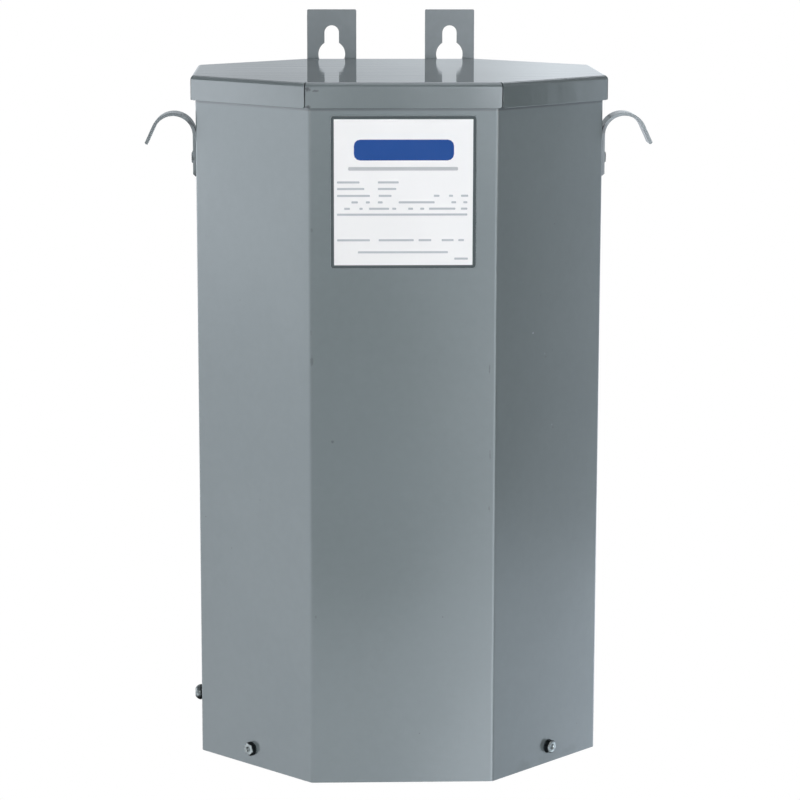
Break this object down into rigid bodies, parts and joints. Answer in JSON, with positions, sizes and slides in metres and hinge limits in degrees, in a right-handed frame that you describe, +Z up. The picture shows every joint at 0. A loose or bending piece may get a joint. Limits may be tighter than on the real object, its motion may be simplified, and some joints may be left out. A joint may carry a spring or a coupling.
{
  "type": "buck boost transformer",
  "caption": "Wall-hung potted dry-type transformer in a tall eight-sided sheet-steel case with a folded lid, keyhole hanging straps, open lifting hooks and a plain nameplate.",
  "frame": {"origin": "bottom centre of the overall box, on the plane that the case stands on", "axes": "+Z up, front panel with the nameplate towards -Y, wall side towards +Y, +X to the right seen from the front"},
  "size_m": [0.3304, 0.269, 0.487],
  "materials": {
    "case_paint": "semi-gloss grey enamel over sheet steel",
    "lid_paint": "glossy grey enamel over sheet steel",
    "strap_paint": "semi-gloss grey enamel over strap steel",
    "potting_resin": "matt sand-filled resin, hidden in the case",
    "nameplate_enamel": "white enamelled plate with a dark border",
    "zinc_plate": "bright zinc plating"
  },
  "bodies": {
    "root": {"front_shell": "case_paint", "rear_shell": "case_paint", "lid": "lid_paint", "bottom_cover": "case_paint", "potted_block": "potting_resin", "left_mounting_strap": "strap_paint", "right_mounting_strap": "strap_paint", "left_lifting_hook": "strap_paint", "right_lifting_hook": "strap_paint", "left_hook_front_rivet": "strap_paint", "left_hook_rear_rivet": "strap_paint", "right_hook_front_rivet": "strap_paint", "right_hook_rear_rivet": "strap_paint", "nameplate": "nameplate_enamel", "front_left_base_screw": "zinc_plate", "front_right_base_screw": "zinc_plate", "rear_left_base_screw": "zinc_plate", "rear_right_base_screw": "zinc_plate", "ground_screw": "zinc_plate", "ground_washer": "zinc_plate"}
  },
  "joints": []
}
